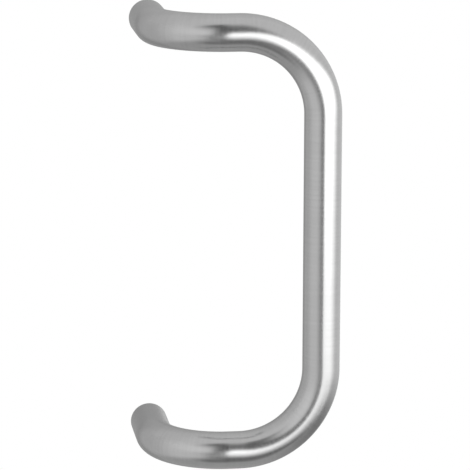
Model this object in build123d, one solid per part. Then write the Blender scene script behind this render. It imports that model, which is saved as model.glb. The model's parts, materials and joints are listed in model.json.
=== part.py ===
from build123d import *
import os
from math import radians, tan

# Cranked door pull handle, bent from one length of solid round stainless steel bar.
# Two feet stand square off the door. The bar turns sideways out of each foot, then turns again
# into the upright grip, so the grip runs beside the line of the two fixings.
# Each foot is cut square, drilled and tapped for a bolt that comes through the door.
#
# Frame: the origin is on the door face, midway between the two fixings. +Z runs up along the
# grip, +Y goes into the door, and the grip lies to the +X side. All lengths are millimetres.

# The bar. Bend radii are to its centre line.
BAR_DIAMETER = 20.0
FIXING_CENTRES = 225.0
FOOT_STRAIGHT = 28.0
FOOT_BEND_RADIUS = 36.0
LEG_STRAIGHT = 6.0
CORNER_BEND_RADIUS = 44.0
FOOT_EDGE_BREAK = 0.6

# The tapped hole in each foot, with an M8 thread. The depth is that of the full bore.
THREAD_DIAMETER = 8.0
TAP_DRILL_DIAMETER = 6.8
TAP_DRILL_DEPTH = 22.0
DRILL_POINT_ANGLE = 118.0
COUNTERSINK_MARGIN = 0.3
COUNTERSINK_ANGLE = 90.0

# Where the grip's axis runs, from the door face and from the line of the fixings.
GRIP_STANDOFF = FOOT_STRAIGHT + FOOT_BEND_RADIUS
GRIP_OFFSET = FOOT_BEND_RADIUS + LEG_STRAIGHT + CORNER_BEND_RADIUS
FIXING_HEIGHTS = (-FIXING_CENTRES / 2, FIXING_CENTRES / 2)


def centre_line():
    """The bar's centre line, from the lower foot round the grip to the upper foot."""
    low, high = FIXING_HEIGHTS
    corners = [
        (0, 0, low),
        (0, -GRIP_STANDOFF, low),
        (GRIP_OFFSET, -GRIP_STANDOFF, low),
        (GRIP_OFFSET, -GRIP_STANDOFF, high),
        (0, -GRIP_STANDOFF, high),
        (0, 0, high),
    ]
    bends = [FOOT_BEND_RADIUS, CORNER_BEND_RADIUS, CORNER_BEND_RADIUS, FOOT_BEND_RADIUS]
    return FilletPolyline(*corners, radius=bends)


def bent_bar():
    """The whole bar, with the sharp edge of each square-cut end taken off."""
    path = centre_line()
    start = Plane(origin=path @ 0, z_dir=path % 0)
    bar = sweep(start * Circle(BAR_DIAMETER / 2), path=path)
    end_faces = bar.faces().filter_by(Axis.Y).filter_by(GeomType.PLANE)
    return chamfer(end_faces.edges(), FOOT_EDGE_BREAK)


def tapped_hole():
    """What one fixing hole takes out of a foot: the bore, its drill point and its countersink."""
    bore_radius = TAP_DRILL_DIAMETER / 2
    mouth_radius = THREAD_DIAMETER / 2 + COUNTERSINK_MARGIN
    mouth_depth = (mouth_radius - bore_radius) / tan(radians(COUNTERSINK_ANGLE / 2))
    point_depth = bore_radius / tan(radians(DRILL_POINT_ANGLE / 2))
    half_section = Polyline(
        (0, 0),
        (mouth_radius, 0),
        (bore_radius, -mouth_depth),
        (bore_radius, -TAP_DRILL_DEPTH),
        (0, -TAP_DRILL_DEPTH - point_depth),
        close=True,
    )
    return revolve(make_face(half_section), Axis.Y)


pull_bar = bent_bar()
for height in FIXING_HEIGHTS:
    pull_bar -= Pos(0, 0, height) * tapped_hole()

os.makedirs("parts", exist_ok=True)
export_step(pull_bar, "parts/pull_bar.step")
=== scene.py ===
import json
import math

import bpy
from mathutils import Matrix, Quaternion, Vector


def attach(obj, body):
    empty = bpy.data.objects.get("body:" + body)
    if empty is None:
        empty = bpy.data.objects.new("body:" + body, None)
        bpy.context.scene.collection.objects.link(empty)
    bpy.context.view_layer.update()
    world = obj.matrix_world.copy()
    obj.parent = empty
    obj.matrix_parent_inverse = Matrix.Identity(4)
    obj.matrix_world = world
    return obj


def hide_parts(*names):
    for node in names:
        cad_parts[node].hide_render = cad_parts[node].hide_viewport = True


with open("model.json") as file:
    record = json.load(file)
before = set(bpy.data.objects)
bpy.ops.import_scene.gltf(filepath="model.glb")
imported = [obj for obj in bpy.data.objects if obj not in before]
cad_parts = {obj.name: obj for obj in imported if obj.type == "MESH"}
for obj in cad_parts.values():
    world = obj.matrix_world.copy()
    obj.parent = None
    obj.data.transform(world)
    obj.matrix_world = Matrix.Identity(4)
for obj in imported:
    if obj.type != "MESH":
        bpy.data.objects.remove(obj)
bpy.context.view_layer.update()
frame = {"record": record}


# The bar: one length of solid round stainless steel, bent cold in four places and then brushed round.
# It leaves the door at the lower foot, turns sideways into a leg, turns up into the grip, and comes
# back the same way to the upper foot. Both ends are faced square, drilled and tapped M8 for bolts.
fixings = next(mount for mount in frame["record"]["mounts"] if mount["name"] == "fixing_holes")
FIXING_CENTRES = fixings["dims"]["spacing_y_mm"] / 1000
BAR_RADIUS = 0.010
FOOT_STRAIGHT = 0.028
FOOT_BEND_RADIUS = 0.036
LEG_STRAIGHT = 0.006
CORNER_BEND_RADIUS = 0.044
GRIP_STRAIGHT = FIXING_CENTRES - 2 * CORNER_BEND_RADIUS
EDGE_BREAK = 0.0006

# The tapped hole in each foot. The thread's flat is what is cut off its crest and its root, as a share of
# its depth. The countersink is 90 degrees, so it is as deep as it is wider than the bore.
BORE_RADIUS = fixings["dims"]["hole_r_mm"] / 1000
BORE_DEPTH = 0.022
DRILL_POINT_ANGLE = math.radians(118)
DRILL_POINT_DEPTH = BORE_RADIUS / math.tan(DRILL_POINT_ANGLE / 2)
THREAD_RADIUS = 0.004
THREAD_PITCH = 0.00125
THREAD_DEPTH = 0.0195
THREAD_FLAT = 0.12
COUNTERSINK_MARGIN = 0.0003
MOUTH_RADIUS = THREAD_RADIUS + COUNTERSINK_MARGIN
MOUTH_DEPTH = MOUTH_RADIUS - BORE_RADIUS

# How finely the mesh is divided, and the numbers of its two finishes.
SIDES = 96
RING_STEP = 0.0015
RINGS_PER_TURN = 10
THREAD_STEP = THREAD_PITCH / RINGS_PER_TURN
POINT_RINGS = 3
COUNTERSINK_RINGS = 2
FACE_RINGS = 4
SHARP_ANGLE = math.radians(30)
SATIN, TURNED = 0, 1


class Ring:
    """One ring of points round the bar's line. Its radius is a number, or a function of the angle."""

    def __init__(self, centre, along, across, run, radius, finish):
        self.centre = centre
        self.across = across
        self.up = along.cross(across)
        self.run = run
        self.radius = radius
        self.finish = finish

    def spokes(self):
        """The ring's points as (distance across, distance up) from the bar's line."""
        for side in range(SIDES):
            angle = 2 * math.pi * side / SIDES
            radius = self.radius(angle) if callable(self.radius) else self.radius
            yield radius * math.cos(angle), radius * math.sin(angle)

    def bent(self):
        """The points where they are on the bent bar."""
        return [self.centre + x * self.across + y * self.up for x, y in self.spokes()]

    def straight(self):
        """The points where they were before the bar was bent, as distances along, across and up."""
        return [Vector((self.run, x, y)) for x, y in self.spokes()]


class BentBar:
    """The bar as a bender makes it: straight feeds and quarter bends, with a ring at each step."""

    def __init__(self, start, along, across):
        self.place = start
        self.along = along
        self.across = across
        self.run = 0
        self.rings = []

    def mark(self):
        self.rings.append(Ring(self.place, self.along, self.across, self.run, BAR_RADIUS, SATIN))

    def feed(self, length):
        steps = math.ceil(length / RING_STEP)
        for _ in range(steps):
            self.place = self.place + self.along * length / steps
            self.run += length / steps
            self.mark()

    def bend(self, radius, towards):
        length = radius * math.pi / 2
        steps = math.ceil(length / RING_STEP)
        pivot = self.place + towards * radius
        turn = Matrix.Rotation(math.pi / 2 / steps, 3, self.along.cross(towards))
        for _ in range(steps):
            self.place = pivot + turn @ (self.place - pivot)
            self.along = turn @ self.along
            self.across = turn @ self.across
            self.run += length / steps
            self.mark()


def thread_wall(depth, inwards):
    """The bore's radius by angle at one depth: a right-hand V thread that fades over its first and last
    turn. inwards is 1 or -1, the way into the hole along the bar."""
    fade_in = min(1, max(0, (depth - MOUTH_DEPTH) / THREAD_PITCH))
    fade_out = min(1, max(0, (THREAD_DEPTH - depth) / THREAD_PITCH))
    groove_depth = (THREAD_RADIUS - BORE_RADIUS) * min(fade_in, fade_out)

    def radius(angle):
        phase = (depth / THREAD_PITCH - inwards * angle / (2 * math.pi)) % 1
        flank = 1 - abs(2 * phase - 1)
        groove = min(1, max(0, flank * (1 + 2 * THREAD_FLAT) - THREAD_FLAT))
        return BORE_RADIUS + groove_depth * groove

    return radius


def steps_to(start, end, count):
    """Even steps from start, without it, to end."""
    return [start + (end - start) * step / count for step in range(1, count + 1)]


def foot_end(face, along, across, run, inwards):
    """Rings of one foot's end, from the drill point out through the thread to the faced end's rim."""

    def ring(depth, radius):
        return Ring(face + along * inwards * depth, along, across, run + inwards * depth, radius, TURNED)

    rings = []
    for share in steps_to(0, 1, POINT_RINGS):
        rings.append(ring(BORE_DEPTH + DRILL_POINT_DEPTH * (1 - share), BORE_RADIUS * share))
    for depth in steps_to(BORE_DEPTH, MOUTH_DEPTH, round((BORE_DEPTH - MOUTH_DEPTH) / THREAD_STEP)):
        rings.append(ring(depth, thread_wall(depth, inwards)))
    for share in steps_to(0, 1, COUNTERSINK_RINGS):
        rings.append(ring(MOUTH_DEPTH * (1 - share), BORE_RADIUS + MOUTH_DEPTH * share))
    for radius in steps_to(MOUTH_RADIUS, BAR_RADIUS - EDGE_BREAK, FACE_RINGS):
        rings.append(ring(0, radius))
    return rings


# The bender's run, from foot to foot. The broken edge of each end is left between the rim of its face and
# the bar's first or last ring.
RIGHT = Vector((1, 0, 0))
BACK = Vector((0, 1, 0))
UP = Vector((0, 0, 1))
bar = BentBar(-UP * FIXING_CENTRES / 2, -BACK, RIGHT)
lower_end = foot_end(bar.place, bar.along, bar.across, bar.run, 1)
bar.feed(EDGE_BREAK)
bar.feed(FOOT_STRAIGHT - EDGE_BREAK)
bar.bend(FOOT_BEND_RADIUS, RIGHT)
bar.feed(LEG_STRAIGHT)
bar.bend(CORNER_BEND_RADIUS, UP)
bar.feed(GRIP_STRAIGHT)
bar.bend(CORNER_BEND_RADIUS, -RIGHT)
bar.feed(LEG_STRAIGHT)
bar.bend(FOOT_BEND_RADIUS, BACK)
bar.feed(FOOT_STRAIGHT - EDGE_BREAK)
upper_face = bar.place + bar.along * EDGE_BREAK
bar_length = bar.run + EDGE_BREAK
upper_end = foot_end(upper_face, bar.along, bar.across, bar_length, -1)

rings = lower_end + bar.rings + upper_end[::-1]
tip_depth = BORE_DEPTH + DRILL_POINT_DEPTH
lower_tip = -UP * FIXING_CENTRES / 2 - BACK * tip_depth
upper_tip = UP * FIXING_CENTRES / 2 - BACK * tip_depth
points = [lower_tip] + [point for ring in rings for point in ring.bent()] + [upper_tip]
unbent = [Vector((tip_depth, 0, 0))] + [point for ring in rings for point in ring.straight()]
unbent.append(Vector((bar_length - tip_depth, 0, 0)))


def ring_point(index, side):
    """The number of one point of one ring. The rings come after the lower tip, which is number 0."""
    return 1 + index * SIDES + side % SIDES


# The skin: a fan of triangles at each drill tip, and a band of faces from each ring to the next, which is
# turned where either ring is.
faces = []
finishes = []
last_ring = len(rings) - 1
last_point = len(points) - 1
for side in range(SIDES):
    faces.append((0, ring_point(0, side + 1), ring_point(0, side)))
    finishes.append(TURNED)
for index in range(last_ring):
    for side in range(SIDES):
        edge = (ring_point(index, side), ring_point(index, side + 1))
        next_edge = (ring_point(index + 1, side + 1), ring_point(index + 1, side))
        faces.append(edge + next_edge)
        finishes.append(max(rings[index].finish, rings[index + 1].finish))
for side in range(SIDES):
    faces.append((ring_point(last_ring, side), ring_point(last_ring, side + 1), last_point))
    finishes.append(TURNED)

mesh = bpy.data.meshes.new("satin_bar")
mesh.from_pydata(points, [], faces)
mesh.polygons.foreach_set("use_smooth", [True] * len(faces))
mesh.polygons.foreach_set("material_index", finishes)
mesh.set_sharp_from_angle(angle=SHARP_ANGLE)
straight = mesh.attributes.new("straight", "FLOAT_VECTOR", "POINT")
straight.data.foreach_set("vector", [part for point in unbent for part in point])
satin_bar = bpy.data.objects.new("satin_bar", mesh)
bpy.context.scene.collection.objects.link(satin_bar)


class Wire:
    """One socket of a shader tree. Sums and products of wires add their Math nodes to the tree."""

    def __init__(self, tree, socket=None):
        self.tree = tree
        self.socket = socket

    def node(self, kind, settings, sockets, output=0):
        """Adds a node with its settings, feeds its sockets with values or wires, and returns an output."""
        made = self.tree.nodes.new(kind)
        for name, value in settings.items():
            setattr(made, name, value)
        for name, value in sockets.items():
            if isinstance(value, Wire):
                self.tree.links.new(value.socket, made.inputs[name])
            else:
                made.inputs[name].default_value = value
        return Wire(self.tree, made.outputs[output] if made.outputs else None)

    def math(self, operation, first, second):
        return self.node("ShaderNodeMath", {"operation": operation}, {0: first, 1: second})

    def __add__(self, other):
        return self.math("ADD", self, other)

    def __radd__(self, other):
        return self.math("ADD", other, self)

    def __sub__(self, other):
        return self.math("SUBTRACT", self, other)

    def __rsub__(self, other):
        return self.math("SUBTRACT", other, self)

    def __mul__(self, other):
        return self.math("MULTIPLY", self, other)

    def __rmul__(self, other):
        return self.math("MULTIPLY", other, self)

    def scaled(self, factors):
        """This vector with each of its parts multiplied by one factor."""
        return self.node("ShaderNodeVectorMath", {"operation": "MULTIPLY"}, {0: self, 1: factors})

    def noise(self, detail):
        """Noise at this vector, about 0.5 on average."""
        return self.node("ShaderNodeTexNoise", {}, {"Vector": self, "Scale": 1, "Detail": detail})

    def tint(self, dark, light):
        """The colour at this wire's place between two greys."""
        settings = {"data_type": "RGBA"}
        return self.node("ShaderNodeMix", settings, {0: self, 6: grey(dark), 7: grey(light)}, 2)


def grey(value):
    return (value, value, value, 1)


def new_tree(block):
    """The empty shader tree of a material or a world."""
    block.use_nodes = True
    block.node_tree.nodes.clear()
    return Wire(block.node_tree)


def before_bending(tree):
    """Where each point was before the bar was bent, as distances along, across and up."""
    return tree.node("ShaderNodeAttribute", {"attribute_name": "straight"}, {}, "Vector")


def steel(tree, colour, roughness, height, relief):
    """Bare steel, with a height from 0 to 1 that stands this far out of its surface, in metres."""
    bump = tree.node("ShaderNodeBump", {}, {"Strength": 1, "Distance": relief, "Height": height})
    sockets = {"Base Color": colour, "Metallic": 1, "Roughness": roughness, "Normal": bump}
    surface = tree.node("ShaderNodeBsdfPrincipled", {}, sockets)
    tree.node("ShaderNodeOutputMaterial", {}, {"Surface": surface})


# The satin finish: the lines that the brush leaves round the bar, and slow changes of shade along it.
# Each is given as cycles in a metre along the bar and across it.
BRUSH_LINES = (1100, 40, 40)
SHADE_BANDS = (60, 40, 40)
LINE_SHARE = 0.7
BRUSH_RELIEF = 0.000003
SATIN_DARK, SATIN_LIGHT = 0.38, 0.48
SATIN_ROUGHNESS, LINE_ROUGHNESS = 0.18, 0.10
satin_steel = bpy.data.materials.new("satin_steel")
tree = new_tree(satin_steel)
unbent_place = before_bending(tree)
brushing = unbent_place.scaled(BRUSH_LINES).noise(detail=3)
bands = unbent_place.scaled(SHADE_BANDS).noise(detail=2)
shade = brushing * LINE_SHARE + bands * (1 - LINE_SHARE)
roughness = SATIN_ROUGHNESS + brushing * LINE_ROUGHNESS
steel(tree, shade.tint(SATIN_DARK, SATIN_LIGHT), roughness, brushing, BRUSH_RELIEF)

# The faced ends and the holes: rings left by the cutting tool, a little rougher than the brushed bar.
# The marks are given as cycles in a metre out from the bar's line, and the blotches in a metre each way.
TOOL_MARKS = 6500
BLOTCHES = (300, 300, 300)
MARK_SHARE = 0.7
TOOL_RELIEF = 0.00001
TURNED_DARK, TURNED_LIGHT = 0.36, 0.48
TURNED_ROUGHNESS, BLOTCH_ROUGHNESS = 0.26, 0.10
turned_steel = bpy.data.materials.new("turned_steel")
tree = new_tree(turned_steel)
unbent_place = before_bending(tree)
off_axis = unbent_place.scaled((0, 1, 1))
reach = off_axis.node("ShaderNodeVectorMath", {"operation": "LENGTH"}, {0: off_axis}, "Value")
marks = tree.node("ShaderNodeCombineXYZ", {}, {"X": reach * TOOL_MARKS}).noise(detail=2)
blotches = unbent_place.scaled(BLOTCHES).noise(detail=2)
shade = marks * MARK_SHARE + blotches * (1 - MARK_SHARE)
roughness = TURNED_ROUGHNESS + blotches * BLOTCH_ROUGHNESS
steel(tree, shade.tint(TURNED_DARK, TURNED_LIGHT), roughness, marks, TOOL_RELIEF)

mesh.materials.append(satin_steel)
mesh.materials.append(turned_steel)
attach(satin_bar, "root")
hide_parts("pull_bar")


# The studio: a plain white room, with soft cards stood round the handle to shape what the steel shows.
# They are cloth and board on stands, out of the picture, and each fades out towards its edges.
# Where two cards overlap, the nearer one shows.
STUDIO_CENTRE = Vector((0.0427, -0.040, 0))

room = bpy.data.worlds.new("white_room")
bpy.context.scene.world = room
tree = new_tree(room)
background = tree.node("ShaderNodeBackground", {}, {"Color": grey(1), "Strength": 1})
tree.node("ShaderNodeOutputWorld", {}, {"Surface": background})


def flat_sheet(name, left, right, bottom, top):
    """A rectangle that lies in its own X and Y, as a new object."""
    corners = [(left, bottom, 0), (right, bottom, 0), (right, top, 0), (left, top, 0)]
    rectangle = bpy.data.meshes.new(name)
    rectangle.from_pydata(corners, [], [(0, 1, 2, 3)])
    sheet = bpy.data.objects.new(name, rectangle)
    bpy.context.scene.collection.objects.link(sheet)
    return sheet


def way_out(bearing, rise):
    """The way from the handle to a place round it, in degrees to the right of its front and upwards."""
    turn, lift = math.radians(bearing), math.radians(rise)
    return Vector((math.sin(turn) * math.cos(lift), -math.cos(turn) * math.cos(lift), math.sin(lift)))


def fade(place, edge, width):
    """0 before the edge and 1 after it, with a soft step of this width across it."""
    settings = {"interpolation_type": "SMOOTHSTEP"}
    sockets = {"Value": place, "From Min": edge - width / 2, "From Max": edge + width / 2}
    return place.node("ShaderNodeMapRange", settings, sockets)


def studio_card(name, brightness, bearing, rise, distance, width, height, soft, tilt=0, lean=0):
    """A flat card that faces the handle, turned by tilt degrees in its own plane. A brightness of 1 is as
    white as the room. soft is how wide all its edges fade, or its left, right, bottom and top ones.
    lean is how far its sides slope per metre up."""
    left, right, bottom, top = soft if isinstance(soft, tuple) else (soft,) * 4
    low, high = -(height + bottom) / 2, (height + top) / 2
    slope = abs(lean) * max(-low, high)
    card = flat_sheet(name, -(width + left) / 2 - slope, (width + right) / 2 + slope, low, high)
    outwards = way_out(bearing, rise)
    sideways = way_out(bearing + 90, 0)
    facing = Matrix((sideways, outwards.cross(sideways), outwards)).transposed()
    tilted = facing @ Matrix.Rotation(math.radians(tilt), 3, "Z")
    card.matrix_world = Matrix.Translation(STUDIO_CENTRE + outwards * distance) @ tilted.to_4x4()
    card.visible_camera = False

    cloth = bpy.data.materials.new(name)
    tree = new_tree(cloth)
    place = tree.node("ShaderNodeTexCoord", {}, {}, "Object")
    upwards = tree.node("ShaderNodeSeparateXYZ", {}, {0: place}, "Y")
    across = tree.node("ShaderNodeSeparateXYZ", {}, {0: place}, "X") - upwards * lean
    sides = fade(across, -width / 2, left) * (1 - fade(across, width / 2, right))
    ends = fade(upwards, -height / 2, bottom) * (1 - fade(upwards, height / 2, top))
    clear = tree.node("ShaderNodeBsdfTransparent", {}, {})
    glow = tree.node("ShaderNodeEmission", {}, {"Color": grey(1), "Strength": brightness})
    mixed = tree.node("ShaderNodeMixShader", {}, {0: sides * ends, 1: clear, 2: glow})
    tree.node("ShaderNodeOutputMaterial", {}, {"Surface": mixed})
    card.data.materials.append(cloth)


# Grey cards behind, above, left of and below the handle give the steel its middle tones.
studio_card("back_card", brightness=0.45, bearing=190, rise=-15, distance=2.2, width=4, height=7.5,
            soft=3.5)
studio_card("high_card", brightness=0.8, bearing=205, rise=45, distance=2.1, width=6, height=1.5,
            soft=3)
studio_card("left_card", brightness=0.75, bearing=-115, rise=-10, distance=2.1, width=2, height=3,
            soft=2)
studio_card("low_card", brightness=0.6, bearing=10, rise=-90, distance=2, width=4, height=12,
            soft=1.5)
studio_card("low_flag", brightness=0.35, bearing=100, rise=-45, distance=1.8, width=3, height=1,
            soft=1)

# A lit strip gives the back of the grip a soft highlight.
studio_card("rear_strip", brightness=1.2, bearing=155, rise=-15, distance=1.7, width=0.4, height=1.1,
            soft=0.3)

# In front, the soft box gives the bright band, the dark flags round and below the lens give the dark
# lines beside it, and the fill lightens the left of the legs.
studio_card("lens_flag", brightness=0.15, bearing=5, rise=0, distance=1.6, width=1.6, height=5,
            soft=(2, 1, 1, 0.2), tilt=20)
studio_card("front_flag", brightness=0.2, bearing=-5, rise=-56, distance=1.5, width=1.2, height=0.4,
            soft=0.5)
studio_card("left_fill", brightness=1.2, bearing=-40, rise=15, distance=1.5, width=1.3, height=1.1,
            soft=(1.5, 0.3, 0.6, 1.2))
studio_card("soft_box", brightness=3.6, bearing=38, rise=0, distance=1.3, width=1.8, height=1,
            soft=(0.4, 2, 1.6, 0.4), lean=0.8)


# The floor: a plain sheet of pale paper, well below the handle, which is shown by itself off its door.
# To the lens, and in the steel, it is as white as the room, so no edge of it shows behind the handle.
FLOOR_DROP = 2.4
FLOOR_REACH = 6
FLOOR_SHADE = 0.8
pale_floor = flat_sheet("pale_floor", -FLOOR_REACH, FLOOR_REACH, -FLOOR_REACH, FLOOR_REACH)
pale_floor.location.z = -FLOOR_DROP
floor_paper = bpy.data.materials.new("floor_paper")
tree = new_tree(floor_paper)
seen_straight = tree.node("ShaderNodeLightPath", {}, {}, "Is Camera Ray")
seen_in_gloss = tree.node("ShaderNodeLightPath", {}, {}, "Is Glossy Ray")
seen_through = tree.node("ShaderNodeLightPath", {}, {}, "Is Transmission Ray")
seen = seen_straight + seen_in_gloss + seen_through
paper = tree.node("ShaderNodeBsdfDiffuse", {}, {"Color": grey(FLOOR_SHADE)})
white = tree.node("ShaderNodeEmission", {}, {"Color": grey(1), "Strength": 1})
shown = tree.node("ShaderNodeMixShader", {}, {0: seen, 1: paper, 2: white})
tree.node("ShaderNodeOutputMaterial", {}, {"Surface": shown})
pale_floor.data.materials.append(floor_paper)


# The camera: a long lens in front of the handle, a little to its left and above it, so that the outer
# side of the upper leg and the inner side of the lower one show.
CAMERA_BEARING = -7.7
CAMERA_RISE = 11.9
CAMERA_ROLL = math.radians(0.15)
CAMERA_DISTANCE = 1.5
SENSOR_WIDTH = 36
FOCAL_LENGTH = 214.5
camera = bpy.data.objects.new("camera", bpy.data.cameras.new("camera"))
bpy.context.scene.collection.objects.link(camera)
camera.data.sensor_width = SENSOR_WIDTH
camera.data.lens = FOCAL_LENGTH
backwards = way_out(CAMERA_BEARING, CAMERA_RISE)
camera.location = STUDIO_CENTRE + backwards * CAMERA_DISTANCE
camera.rotation_mode = "QUATERNION"
camera.rotation_quaternion = (-backwards).to_track_quat("-Z", "Y") @ Quaternion((0, 0, 1), CAMERA_ROLL)
bpy.context.scene.camera = camera
bpy.context.scene.view_settings.view_transform = "Standard"
